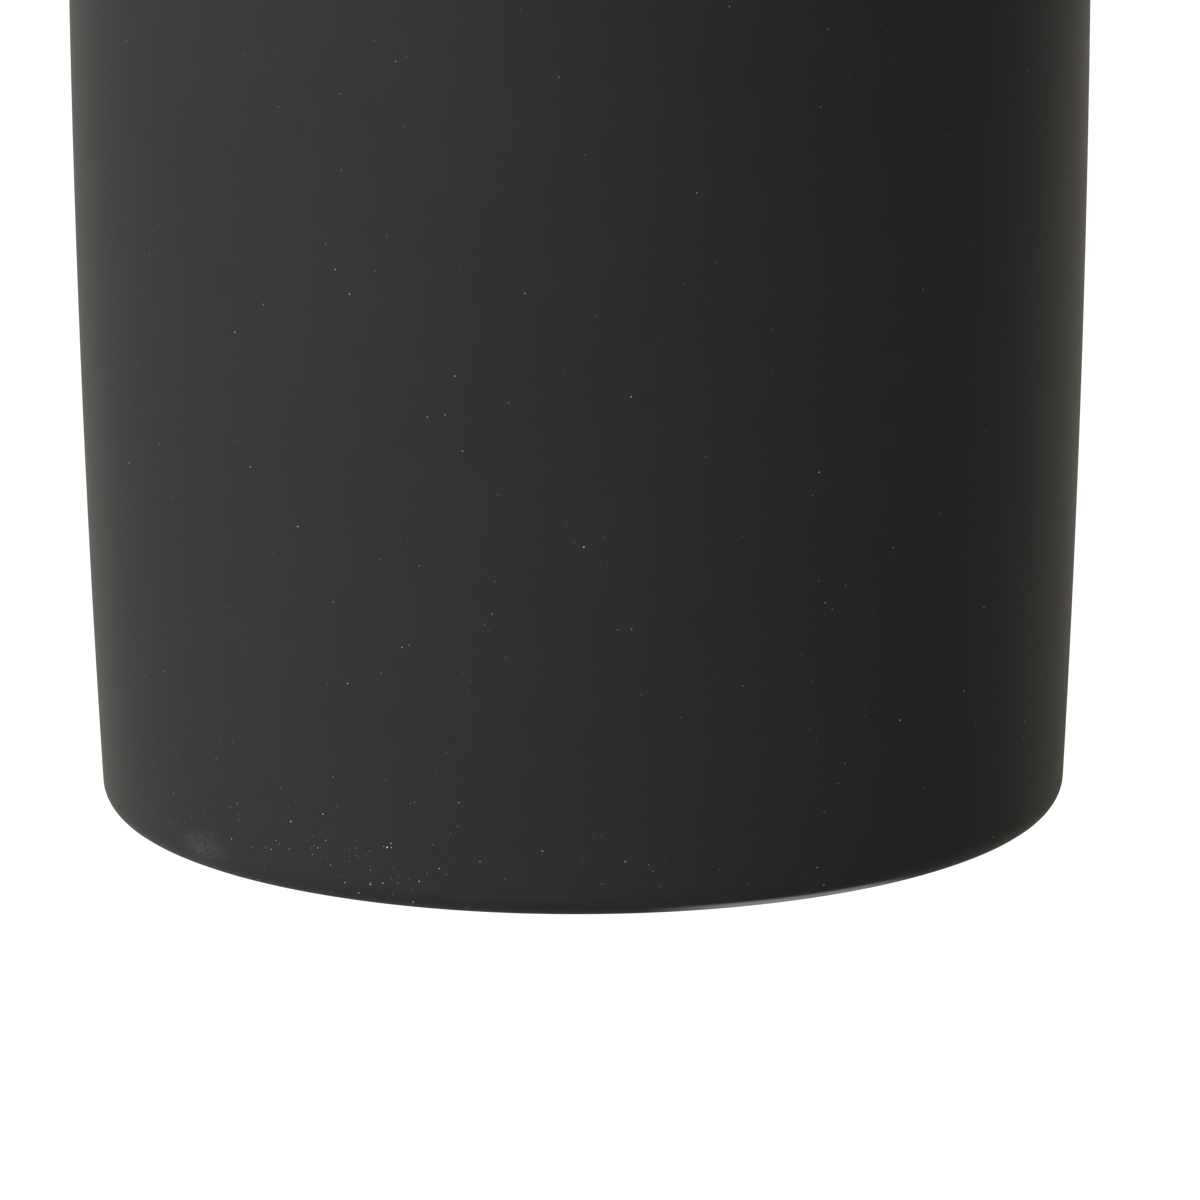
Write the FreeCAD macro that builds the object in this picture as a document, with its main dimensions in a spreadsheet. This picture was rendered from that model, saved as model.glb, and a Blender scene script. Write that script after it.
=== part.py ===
"""Empty candle jar: a round pressed-glass jar with a turned bamboo lid and a finned silicone seal.

Lengths are in millimetres. The jar stands on the XY plane with its axis on +Z, and the origin is at the
centre of its foot. The lid and its seal are drawn in a frame of their own, whose origin lies on the jar's
axis at the height of the rim, and are placed at that height.
"""

import FreeCAD
import Part
import Sketcher
import math
import os

# Driving dimensions: alias, value, what it measures.
SIZES = [
    ("jar_radius", 40.0, "outside of the jar's straight upper wall"),
    ("jar_height", 90.0, "foot to rim"),
    ("base_inset", 1.5, "how much narrower the wall is where it reaches the foot"),
    ("taper_height", 65.0, "height at which the wall becomes vertical"),
    ("wall", 3.0, "thickness of the glass wall"),
    ("floor_thickness", 8.0, "thickness of the glass floor"),
    ("heel_fillet", 2.0, "outside corner between wall and foot"),
    ("corner_fillet", 7.0, "inside corner between wall and floor"),
    ("rim_fillet", 1.4, "fire-polished rounding on each side of the rim"),
    ("foot_radius", 30.5, "inside of the foot ring that the jar stands on"),
    ("step_height", 0.7, "rise of the bevelled step inside the foot ring"),
    ("step_run", 0.9, "width of that step"),
    ("push_up", 1.8, "depth of the hollow under the foot, at its middle"),
    ("step_fillet", 0.7, "rounding of the step's two edges"),
    ("lid_radius", 40.0, "outside of the lid, flush with the jar"),
    ("lid_thickness", 10.0, "part of the lid that stands above the rim"),
    ("lid_top_fillet", 1.5, "rounding of the lid's top edge"),
    ("lid_under_fillet", 0.6, "rounding of the lid's lower edge"),
    ("plug_radius", 36.2, "plug that drops into the mouth"),
    ("plug_depth", 8.0, "how far the plug reaches below the rim"),
    ("plug_chamfer", 0.9, "lead-in chamfer on the plug"),
    ("seat_radius", 34.4, "floor of the seal's groove in the plug"),
    ("seat_top", 2.2, "upper side of the groove, below the rim"),
    ("seat_height", 4.0, "width of the groove"),
    ("seal_gap", 0.03, "radial running gap between groove floor and seal"),
    ("seal_side_gap", 0.05, "gap between each side of the groove and the seal"),
    ("band_thickness", 1.2, "radial thickness of the seal's band"),
    ("fin_gap", 0.05, "gap between the fins' tips and the glass"),
    ("fin_root", 0.75, "thickness of a fin where it leaves the band"),
    ("fin_tip", 0.35, "thickness of a fin at its tip"),
    ("fin_rise", 0.3, "how much higher a fin's tip is than its root"),
    ("fin_embed", 0.2, "how far a fin's root reaches into the band"),
    ("fin_pitch", 1.3, "distance from one fin to the next"),
    ("fin_count", 3, "fins on the seal"),
    ("cut_overshoot", 1.0, "how far cutting profiles run past the faces that they open"),
]

# Radius of the long arc that the lower wall follows, from its rise and its inset.
WALL_ARC = "(sizes.taper_height ^ 2 + sizes.base_inset ^ 2) / (2 * sizes.base_inset)"
FULL_TURN = 360.0
NEAR = 1e-3


def make_sizes(document):
    """The spreadsheet of driving dimensions."""
    sheet = document.addObject("Spreadsheet::Sheet", "sizes")
    for row, (alias, value, meaning) in enumerate(SIZES, start=1):
        sheet.set(f"A{row}", alias)
        sheet.set(f"B{row}", str(value))
        sheet.setAlias(f"B{row}", alias)
        sheet.set(f"C{row}", meaning)
    document.recompute()
    return sheet


def make_body(document, name):
    """An empty body whose Label names the piece."""
    body = document.addObject("PartDesign::Body", name)
    body.Label = name
    return body


def add_sketch(body, name):
    """A sketch on the body's own XZ plane: its x is the radius and its y the height."""
    sketch = body.newObject("Sketcher::SketchObject", name)
    plane = next(f for f in body.Origin.OriginFeatures if f.Role == "XZ_Plane")
    sketch.AttachmentSupport = [(plane, "")]
    sketch.MapMode = "FlatFace"
    return sketch


def value_of(sheet, expression):
    """The number that an expression on the sheet gives."""
    return float(sheet.evalExpression(expression))


def pin_point(sheet, sketch, geometry, end, label, across, up):
    """Fixes one end of a line or arc at a radius and a height, each an expression or None for free."""
    for kind, axis, expression in (("DistanceX", -2, across), ("DistanceY", -1, up)):
        if expression is None:
            continue
        if expression == "0":
            sketch.addConstraint(Sketcher.Constraint("PointOnObject", geometry, end, axis))
            continue
        amount = value_of(sheet, expression)
        index = sketch.addConstraint(Sketcher.Constraint(kind, -1, 1, geometry, end, amount))
        name = f"{label}_{'across' if kind == 'DistanceX' else 'up'}"
        sketch.renameConstraint(index, name)
        sketch.setExpression(f"Constraints.{name}", expression)


def draw_polygon(sheet, sketch, corners):
    """A closed outline of straight lines through (label, radius expression, height expression) corners."""
    points = [FreeCAD.Vector(value_of(sheet, x), value_of(sheet, y), 0) for _, x, y in corners]
    count = len(points)
    for i in range(count):
        sketch.addGeometry(Part.LineSegment(points[i], points[(i + 1) % count]), False)
    for i in range(count):
        sketch.addConstraint(Sketcher.Constraint("Coincident", i, 2, (i + 1) % count, 1))
        label, across, up = corners[i]
        pin_point(sheet, sketch, i, 1, label, across, up)


def draw_wall_outline(sheet, sketch, bottom, top, radius, arc_radius, foot_radius=None):
    """A closed half section: flat bottom, long arc up to the taper height, vertical wall, flat top, axis.

    bottom, top, radius, arc_radius and foot_radius are expressions. With foot_radius the arc starts there,
    and without it the arc has arc_radius; either way it is tangent to the vertical wall.
    """
    low, high, out = (value_of(sheet, e) for e in (bottom, top, radius))
    bend = value_of(sheet, "sizes.taper_height")
    curve = value_of(sheet, arc_radius)
    start_angle = -math.asin((bend - low) / curve)
    foot = out - curve + curve * math.cos(start_angle)
    circle = Part.Circle(FreeCAD.Vector(out - curve, bend, 0), FreeCAD.Vector(0, 0, 1), curve)
    sketch.addGeometry(Part.LineSegment(FreeCAD.Vector(0, low, 0), FreeCAD.Vector(foot, low, 0)), False)
    sketch.addGeometry(Part.ArcOfCircle(circle, start_angle, 0.0), False)
    sketch.addGeometry(Part.LineSegment(FreeCAD.Vector(out, bend, 0), FreeCAD.Vector(out, high, 0)), False)
    sketch.addGeometry(Part.LineSegment(FreeCAD.Vector(out, high, 0), FreeCAD.Vector(0, high, 0)), False)
    sketch.addGeometry(Part.LineSegment(FreeCAD.Vector(0, high, 0), FreeCAD.Vector(0, low, 0)), False)
    floor_line, arc, wall_line, top_line, axis_line = range(5)
    sketch.addConstraint(Sketcher.Constraint("Coincident", floor_line, 2, arc, 1))
    sketch.addConstraint(Sketcher.Constraint("Tangent", arc, 2, wall_line, 1))
    sketch.addConstraint(Sketcher.Constraint("Coincident", wall_line, 2, top_line, 1))
    sketch.addConstraint(Sketcher.Constraint("Coincident", top_line, 2, axis_line, 1))
    sketch.addConstraint(Sketcher.Constraint("Coincident", axis_line, 2, floor_line, 1))
    sketch.addConstraint(Sketcher.Constraint("Vertical", wall_line))
    sketch.addConstraint(Sketcher.Constraint("Horizontal", floor_line))
    pin_point(sheet, sketch, floor_line, 1, "bottom", "0", bottom)
    pin_point(sheet, sketch, wall_line, 1, "bend", radius, "sizes.taper_height")
    pin_point(sheet, sketch, top_line, 1, "top", None, top)
    pin_point(sheet, sketch, axis_line, 1, "axis", "0", top)
    if foot_radius:
        pin_point(sheet, sketch, arc, 1, "foot", foot_radius, None)
    else:
        index = sketch.addConstraint(Sketcher.Constraint("Radius", arc, curve))
        sketch.renameConstraint(index, "arc_radius")
        sketch.setExpression("Constraints.arc_radius", arc_radius)


def turn(body, kind, name, sketch):
    """A full Revolution or Groove of a sketch about the axis, with a check that it changed the volume."""
    before = body.Shape.Volume if body.Tip else 0.0
    feature = body.newObject(kind, name)
    feature.Profile = sketch
    feature.ReferenceAxis = (sketch, ["V_Axis"])
    feature.Angle = FULL_TURN
    body.Document.recompute()
    change = body.Shape.Volume - before
    wrong_way = change >= -NEAR if kind == "PartDesign::Groove" else change <= NEAR
    if wrong_way:
        raise RuntimeError(f"{name} changed the volume of {body.Label} by {change:.3f} mm3")
    return feature


def circle_edges(shape, wanted):
    """Names of the circular edges about the axis whose (radius, height) is in wanted."""
    names = []
    for number, edge in enumerate(shape.Edges, start=1):
        if edge.Degenerated or not isinstance(edge.Curve, Part.Circle):
            continue
        for radius, height in wanted:
            if abs(edge.Curve.Radius - radius) < NEAR and abs(edge.Curve.Center.z - height) < NEAR:
                names.append(f"Edge{number}")
    if len(names) != len(wanted):
        raise RuntimeError(f"found {len(names)} edges for {wanted}")
    return names


def dress(body, kind, name, wanted, sizes):
    """A Fillet or Chamfer on circular edges, with its properties bound to the sheet by expression."""
    base = body.Tip
    feature = body.newObject(kind, name)
    feature.Base = (base, circle_edges(base.Shape, wanted))
    for prop, expression in sizes.items():
        feature.setExpression(prop, expression)
    body.Document.recompute()
    return feature


def make_glass_jar(document, sheet):
    """The jar: solid turned outline, cavity, hollow foot, then its rounded edges."""
    body = make_body(document, "glass_jar")

    outside = add_sketch(body, "jar_outside")
    draw_wall_outline(sheet, outside, "0", "sizes.jar_height", "sizes.jar_radius", WALL_ARC,
                      "sizes.jar_radius - sizes.base_inset")
    turn(body, "PartDesign::Revolution", "jar_blank", outside)

    cavity = add_sketch(body, "jar_inside")
    draw_wall_outline(sheet, cavity, "sizes.floor_thickness", "sizes.jar_height + sizes.cut_overshoot",
                      "sizes.jar_radius - sizes.wall", f"{WALL_ARC} - sizes.wall")
    turn(body, "PartDesign::Groove", "jar_cavity", cavity)

    hollow = add_sketch(body, "foot_hollow_section")
    draw_foot_hollow(sheet, hollow)
    turn(body, "PartDesign::Groove", "foot_hollow", hollow)

    rim, radius, wall = sheet.jar_height, sheet.jar_radius, sheet.wall
    dress(body, "PartDesign::Fillet", "fire_polished_rim", [(radius, rim), (radius - wall, rim)],
          {"Radius": "sizes.rim_fillet"})
    dress(body, "PartDesign::Fillet", "heel", [(radius - sheet.base_inset, 0)],
          {"Radius": "sizes.heel_fillet"})
    dress(body, "PartDesign::Fillet", "foot_step",
          [(sheet.foot_radius, 0), (sheet.foot_radius - sheet.step_run, sheet.step_height)],
          {"Radius": "sizes.step_fillet"})
    floor_edge = inside_floor_radius(sheet)
    dress(body, "PartDesign::Fillet", "inside_corner", [(floor_edge, sheet.floor_thickness)],
          {"Radius": "sizes.corner_fillet"})
    return body


def inside_floor_radius(sheet):
    """Radius at which the cavity's wall arc meets the floor."""
    curve = value_of(sheet, f"{WALL_ARC} - sizes.wall")
    drop = sheet.taper_height - sheet.floor_thickness
    return sheet.jar_radius - sheet.wall - curve + math.sqrt(curve**2 - drop**2)


def draw_foot_hollow(sheet, sketch):
    """Half section of the hollow: the foot's plane, a bevelled step, then a dome that is level at the axis."""
    ring, run = sheet.foot_radius, sheet.step_run
    low, crown = sheet.step_height, sheet.push_up
    edge, rise = ring - run, crown - low
    curve = (edge**2 + rise**2) / (2 * rise)
    circle = Part.Circle(FreeCAD.Vector(0, crown - curve, 0), FreeCAD.Vector(0, 0, 1), curve)
    edge_angle = math.acos(edge / curve)
    middle, foot_end = FreeCAD.Vector(0, 0, 0), FreeCAD.Vector(ring, 0, 0)
    sketch.addGeometry(Part.LineSegment(middle, foot_end), False)
    sketch.addGeometry(Part.LineSegment(foot_end, FreeCAD.Vector(edge, low, 0)), False)
    sketch.addGeometry(Part.ArcOfCircle(circle, edge_angle, math.pi / 2), False)
    sketch.addGeometry(Part.LineSegment(FreeCAD.Vector(0, crown, 0), middle), False)
    foot_line, step, dome, axis_line = range(4)
    dome_centre = 3
    sketch.addConstraint(Sketcher.Constraint("Coincident", foot_line, 2, step, 1))
    sketch.addConstraint(Sketcher.Constraint("Coincident", step, 2, dome, 1))
    sketch.addConstraint(Sketcher.Constraint("Coincident", dome, 2, axis_line, 1))
    sketch.addConstraint(Sketcher.Constraint("Coincident", axis_line, 2, foot_line, 1))
    sketch.addConstraint(Sketcher.Constraint("PointOnObject", dome, dome_centre, -2))
    pin_point(sheet, sketch, foot_line, 1, "middle", "0", "0")
    pin_point(sheet, sketch, step, 1, "ring", "sizes.foot_radius", "0")
    pin_point(sheet, sketch, dome, 1, "step", "sizes.foot_radius - sizes.step_run", "sizes.step_height")
    pin_point(sheet, sketch, axis_line, 1, "crown", "0", "sizes.push_up")


def place_at_rim(body):
    """Puts a body's own origin on the axis at the height of the rim."""
    body.setExpression("Placement.Base.z", "sizes.jar_height")


def make_bamboo_lid(document, sheet):
    """The lid: a disc on the rim with a plug below it, and a groove round the plug for the seal."""
    body = make_body(document, "bamboo_lid")

    section = add_sketch(body, "lid_section")
    draw_polygon(sheet, section, [
        ("plug_axis", "0", "-sizes.plug_depth"),
        ("plug_foot", "sizes.plug_radius", "-sizes.plug_depth"),
        ("shoulder_inner", "sizes.plug_radius", "0"),
        ("shoulder_outer", "sizes.lid_radius", "0"),
        ("top_edge", "sizes.lid_radius", "sizes.lid_thickness"),
        ("top_axis", "0", "sizes.lid_thickness"),
    ])
    turn(body, "PartDesign::Revolution", "lid_blank", section)

    seat = add_sketch(body, "seal_groove_section")
    outer = "sizes.plug_radius + sizes.cut_overshoot"
    upper, lower = "-sizes.seat_top", "-(sizes.seat_top + sizes.seat_height)"
    draw_polygon(sheet, seat, [
        ("lower_floor", "sizes.seat_radius", lower),
        ("lower_mouth", outer, lower),
        ("upper_mouth", outer, upper),
        ("upper_floor", "sizes.seat_radius", upper),
    ])
    turn(body, "PartDesign::Groove", "seal_groove", seat)

    dress(body, "PartDesign::Fillet", "top_edge", [(sheet.lid_radius, sheet.lid_thickness)],
          {"Radius": "sizes.lid_top_fillet"})
    dress(body, "PartDesign::Fillet", "lower_edge", [(sheet.lid_radius, 0)],
          {"Radius": "sizes.lid_under_fillet"})
    dress(body, "PartDesign::Chamfer", "plug_lead_in", [(sheet.plug_radius, -sheet.plug_depth)],
          {"Size": "sizes.plug_chamfer"})
    place_at_rim(body)
    return body


def make_seal_ring(document, sheet):
    """The seal: a band that sits in the lid's groove, with a row of fins that reach for the glass."""
    body = make_body(document, "lid_seal_ring")
    inner = "sizes.seat_radius + sizes.seal_gap"
    face = f"{inner} + sizes.band_thickness"
    lower = "-(sizes.seat_top + sizes.seat_height - sizes.seal_side_gap)"
    upper = "-(sizes.seat_top + sizes.seal_side_gap)"

    band = add_sketch(body, "band_section")
    draw_polygon(sheet, band, [
        ("lower_inner", inner, lower),
        ("lower_outer", face, lower),
        ("upper_outer", face, upper),
        ("upper_inner", inner, upper),
    ])
    turn(body, "PartDesign::Revolution", "band", band)

    row = "sizes.fin_pitch * (sizes.fin_count - 1)"
    first = f"-(sizes.seat_top + sizes.seat_height / 2) - {row} / 2"
    root = f"{face} - sizes.fin_embed"
    tip = "sizes.jar_radius - sizes.wall - sizes.fin_gap"
    fin = add_sketch(body, "fin_section")
    draw_polygon(sheet, fin, [
        ("root_lower", root, f"{first} - sizes.fin_root / 2"),
        ("tip_lower", tip, f"{first} + sizes.fin_rise - sizes.fin_tip / 2"),
        ("tip_upper", tip, f"{first} + sizes.fin_rise + sizes.fin_tip / 2"),
        ("root_upper", root, f"{first} + sizes.fin_root / 2"),
    ])
    lowest_fin = turn(body, "PartDesign::Revolution", "lowest_fin", fin)

    fins = body.newObject("PartDesign::LinearPattern", "fin_row")
    fins.Originals = [lowest_fin]
    fins.Direction = (next(f for f in body.Origin.OriginFeatures if f.Role == "Z_Axis"), [""])
    fins.setExpression("Length", row)
    fins.setExpression("Occurrences", "sizes.fin_count")
    body.Tip = fins
    document.recompute()
    place_at_rim(body)
    return body


def check(document, bodies):
    """Stops the macro if any object failed or any piece isn't one sound solid."""
    for item in document.Objects:
        if {"Invalid", "Error"} & set(item.State):
            raise RuntimeError(f"{item.Label} is {item.State}")
        if item.isDerivedFrom("Sketcher::SketchObject") and item.solve() != 0:
            raise RuntimeError(f"{item.Label} doesn't solve")
    for body in bodies:
        shape = body.Shape
        if shape.isNull() or not shape.isValid() or len(shape.Solids) != 1:
            raise RuntimeError(f"{body.Label} isn't one valid solid")
        box = shape.BoundBox
        print(f"{body.Label}: {shape.Volume / 1000:.2f} cm3, z {box.ZMin:.2f} to {box.ZMax:.2f} mm")


def main():
    document = FreeCAD.newDocument("candle_jar")
    sheet = make_sizes(document)
    bodies = [maker(document, sheet) for maker in (make_glass_jar, make_bamboo_lid, make_seal_ring)]
    document.recompute()
    check(document, bodies)
    os.makedirs("parts", exist_ok=True)
    for body in bodies:
        body.Shape.exportStep(os.path.join("parts", f"{body.Label}.step"))


main()
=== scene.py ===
"""Looks of an empty candle jar: lacquered glass, a turned bamboo lid and its silicone seal.

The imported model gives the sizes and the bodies. Every piece here is a surface of revolution worked out as
whole arrays: a half section of (radius, height) points is carried round the jar's axis, and small waves are
added as functions of radius, height and angle. Lengths are metres. The jar stands on the XY plane, its axis
is +Z, and the bamboo's grain runs along X.
"""

import logging
import math
from dataclasses import dataclass, field
from enum import Enum
from typing import Any, Callable, Iterable

import bpy
import numpy as np
from mathutils import Matrix, Vector


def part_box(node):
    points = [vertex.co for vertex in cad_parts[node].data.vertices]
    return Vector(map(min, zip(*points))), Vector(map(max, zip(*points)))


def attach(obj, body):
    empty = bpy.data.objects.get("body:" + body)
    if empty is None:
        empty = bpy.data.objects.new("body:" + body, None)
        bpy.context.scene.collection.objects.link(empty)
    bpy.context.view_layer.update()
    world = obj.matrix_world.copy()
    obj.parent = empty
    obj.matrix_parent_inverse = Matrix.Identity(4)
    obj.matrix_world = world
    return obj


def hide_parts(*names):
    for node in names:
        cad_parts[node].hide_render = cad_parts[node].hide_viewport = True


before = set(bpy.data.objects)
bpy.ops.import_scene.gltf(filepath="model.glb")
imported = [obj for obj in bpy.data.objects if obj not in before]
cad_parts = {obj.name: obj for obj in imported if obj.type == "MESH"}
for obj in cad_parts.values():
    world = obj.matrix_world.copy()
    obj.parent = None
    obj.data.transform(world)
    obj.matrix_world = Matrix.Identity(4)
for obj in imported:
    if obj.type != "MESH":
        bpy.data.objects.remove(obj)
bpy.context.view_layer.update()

MM = 0.001
LOG = logging.getLogger("candle_jar")

Colour = tuple[float, float, float]
Warp = Callable[[np.ndarray, np.ndarray, np.ndarray], tuple[np.ndarray, np.ndarray]]


# ---------------------------------------------------------------- half sections and turned surfaces


def run(start: Iterable[float], end: Iterable[float], steps: int) -> np.ndarray:
    """Points on a straight run, close together near its ends so that shading stays flat between them.

    The share of the way along follows half a cosine wave: (1 - cos(pi t)) / 2 for even steps of t.

    Args:
        start: Radius and height of the first point.
        end: Radius and height of the last point.
        steps: How many stretches the run is divided into.

    Returns:
        An array of steps + 1 rows of (radius, height).
    """
    share = (1.0 - np.cos(np.linspace(0.0, np.pi, steps + 1))) / 2.0
    first, last = np.array(start, float), np.array(end, float)
    return first + share[:, None] * (last - first)


def arc(centre: Iterable[float], radius: float, begin: float, finish: float, steps: int) -> np.ndarray:
    """Points on a circular arc: centre + radius * (cos, sin) of evenly spaced angles.

    Args:
        centre: Radius and height of the arc's centre.
        radius: The arc's radius.
        begin: First angle in degrees, 0 pointing away from the axis and 90 up.
        finish: Last angle in degrees.
        steps: How many stretches the arc is divided into.

    Returns:
        An array of steps + 1 rows of (radius, height).
    """
    angles = np.radians(np.linspace(begin, finish, steps + 1))
    return np.array(centre, float) + radius * np.stack([np.cos(angles), np.sin(angles)], axis=1)


def rounded(corners: list[tuple[float, float, float]], steps: int, closed: bool = False) -> np.ndarray:
    """A polygon's corners with each one rounded by a tangent arc.

    With unit vectors u and v from a corner towards its neighbours, the arc touches both sides at a distance
    of fillet / tan(half the angle between u and v), and its centre lies on their bisector.

    Args:
        corners: Radius, height and fillet radius of each corner. A fillet of 0 keeps the corner sharp.
        steps: How many stretches each arc is divided into.
        closed: Whether the last corner joins the first. Otherwise the two end corners stay sharp.

    Returns:
        An array of rows of (radius, height).
    """
    table = np.array(corners, float)
    spots = table[:, :2]
    to_last = np.roll(spots, 1, axis=0) - spots
    to_next = np.roll(spots, -1, axis=0) - spots
    to_last /= np.linalg.norm(to_last, axis=1, keepdims=True)
    to_next /= np.linalg.norm(to_next, axis=1, keepdims=True)
    half = np.arccos(np.clip((to_last * to_next).sum(axis=1), -1.0, 1.0)) / 2.0
    bisector = to_last + to_next
    bisector /= np.maximum(np.linalg.norm(bisector, axis=1, keepdims=True), 1e-12)
    centre = spots + bisector * (table[:, 2] / np.sin(half))[:, None]
    reach = (table[:, 2] / np.tan(half))[:, None]
    first = spots + to_last * reach - centre
    last = spots + to_next * reach - centre
    share = np.linspace(0.0, 1.0, steps + 1)[None, :, None]
    spread = np.maximum(np.pi - 2.0 * half, 1e-9)[:, None, None]
    blend = (first[:, None] * np.sin((1.0 - share) * spread) + last[:, None] * np.sin(share * spread))
    arcs = centre[:, None] + blend / np.sin(spread)
    rows = [arcs[i] if table[i, 2] > 0 else spots[i : i + 1] for i in range(len(table))]
    if not closed:
        rows[0], rows[-1] = spots[:1], spots[-1:]
    return np.concatenate(rows)


def joined(*parts: np.ndarray) -> np.ndarray:
    """Stretches of outline end to end, without the points that repeat where they meet."""
    points = np.concatenate(parts)
    steps = np.linalg.norm(np.diff(points, axis=0), axis=1)
    return points[np.concatenate([[True], steps > 1e-7])]


def padded_runs(outline: np.ndarray, support: float) -> np.ndarray:
    """The outline with two more points near the ends of each long stretch, to keep flat faces shaded flat.

    Args:
        outline: Rows of (radius, height).
        support: Distance of the added points from each end. Stretches under four times it are left alone.

    Returns:
        The longer outline.
    """
    start, end = outline[:-1], outline[1:]
    length = np.linalg.norm(end - start, axis=1, keepdims=True)
    unit = (end - start) / length
    extra = np.stack([start, start + unit * support, end - unit * support], axis=1)
    keep = np.ones((len(start), 3), bool)
    keep[:, 1:] = length > 4.0 * support
    return np.concatenate([extra[keep], outline[-1:]])


def set_in(outline: np.ndarray, depth: float) -> np.ndarray:
    """The outline moved into the material, which lies on its right-hand side.

    Each point moves by depth along the normal of the stretch from the point before it to the one after it.
    Points on the axis stay on it.

    Args:
        outline: Rows of (radius, height).
        depth: How far to move, in metres.

    Returns:
        The moved outline.
    """
    along = np.gradient(outline, axis=0)
    along /= np.linalg.norm(along, axis=1, keepdims=True)
    inward = np.stack([along[:, 1], -along[:, 0]], axis=1)
    moved = outline + depth * inward
    moved[outline[:, 0] < 1e-9, 0] = 0.0
    return moved


def turned(name: str, outline: np.ndarray, segments: int, closed: bool = False,
           warp: Warp | None = None) -> bpy.types.Object:
    """A surface of revolution: point (i, j) is (r_i cos a_j, r_i sin a_j, z_i).

    The solid lies on the right of the outline's direction of travel, so every face looks outwards. An end
    of the outline that lies on the axis becomes one pole vertex with a fan of triangles.

    Args:
        name: Name of the object and its mesh.
        outline: Rows of (radius, height).
        segments: Steps round the axis.
        closed: Whether the outline is a loop that never meets the axis, as on a ring.
        warp: Optional change of radius and height, given both and the angle as grids.

    Returns:
        The new object, linked to the scene, at the origin.
    """
    angles = np.linspace(0.0, 2.0 * np.pi, segments, endpoint=False)
    radius, height, angle = (
        np.broadcast_to(a, (len(outline), segments)).copy()
        for a in (outline[:, 0, None], outline[:, 1, None], angles[None, :])
    )
    if warp is not None:
        radius, height = warp(radius, height, angle)
    grid = np.stack([radius * np.cos(angle), radius * np.sin(angle), height], axis=-1)
    poles = [] if closed else [end for end in (0, -1) if outline[end, 0] < 1e-9]
    rings = grid[(1 if 0 in poles else 0) : (-1 if -1 in poles else None)]
    count = len(rings)
    index = np.arange(count * segments).reshape(count, segments)
    rows = np.roll(np.arange(count), -1) if closed else np.arange(1, count)
    upper, lower = index[: len(rows)], index[rows]
    quads = np.stack([upper, lower, np.roll(lower, -1, axis=1), np.roll(upper, -1, axis=1)], axis=-1)
    faces = quads.reshape(-1, 4).tolist()
    vertices = rings.reshape(-1, 3)
    for end in poles:
        tip = len(vertices)
        vertices = np.concatenate([vertices, grid[end, :1]])
        ring = index[end]
        pair = (ring, np.roll(ring, -1)) if end == 0 else (np.roll(ring, -1), ring)
        faces += np.stack([np.full(segments, tip), *pair], axis=-1).tolist()
    mesh = bpy.data.meshes.new(name)
    mesh.from_pydata(vertices.tolist(), [], faces)
    mesh.shade_smooth()
    mesh.validate()
    made = bpy.data.objects.new(name, mesh)
    bpy.context.scene.collection.objects.link(made)
    return made


# ------------------------------------------------------------------------------- shader building


class Wire:
    """A node's output that arithmetic works on: each operation adds one Math node."""

    def __init__(self, paint: "Paint", socket: bpy.types.NodeSocket) -> None:
        """Keeps the socket and the material that it belongs to."""
        self.paint = paint
        self.socket = socket

    def maths(self, operation: str, *values: "Wire | float") -> "Wire":
        """One Math node with the given operation on these values, in order."""
        return self.paint.node("ShaderNodeMath", {"operation": operation}, dict(enumerate(values)))

    def __add__(self, other: "Wire | float") -> "Wire":
        """self + other."""
        return self.maths("ADD", self, other)

    def __radd__(self, other: float) -> "Wire":
        """other + self."""
        return self.maths("ADD", other, self)

    def __sub__(self, other: "Wire | float") -> "Wire":
        """self - other."""
        return self.maths("SUBTRACT", self, other)

    def __rsub__(self, other: float) -> "Wire":
        """other - self."""
        return self.maths("SUBTRACT", other, self)

    def __mul__(self, other: "Wire | float") -> "Wire":
        """self * other."""
        return self.maths("MULTIPLY", self, other)

    def __rmul__(self, other: float) -> "Wire":
        """other * self."""
        return self.maths("MULTIPLY", other, self)

    def __truediv__(self, other: "Wire | float") -> "Wire":
        """self / other."""
        return self.maths("DIVIDE", self, other)

    def __pow__(self, power: float) -> "Wire":
        """self raised to a power."""
        return self.maths("POWER", self, power)

    def __gt__(self, other: "Wire | float") -> "Wire":
        """1 where self is greater, otherwise 0."""
        return self.maths("GREATER_THAN", self, other)

    def __abs__(self) -> "Wire":
        """The size of self without its sign."""
        return self.maths("ABSOLUTE", self)

    def floor(self) -> "Wire":
        """The whole number at or below self."""
        return self.maths("FLOOR", self)

    def within(self, low: float, high: float) -> "Wire":
        """0 at low, 1 at high and a smooth curve between; low may be above high."""
        sockets = {"Value": self, "From Min": low, "From Max": high}
        return self.paint.node("ShaderNodeMapRange", {"interpolation_type": "SMOOTHSTEP"}, sockets)


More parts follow.
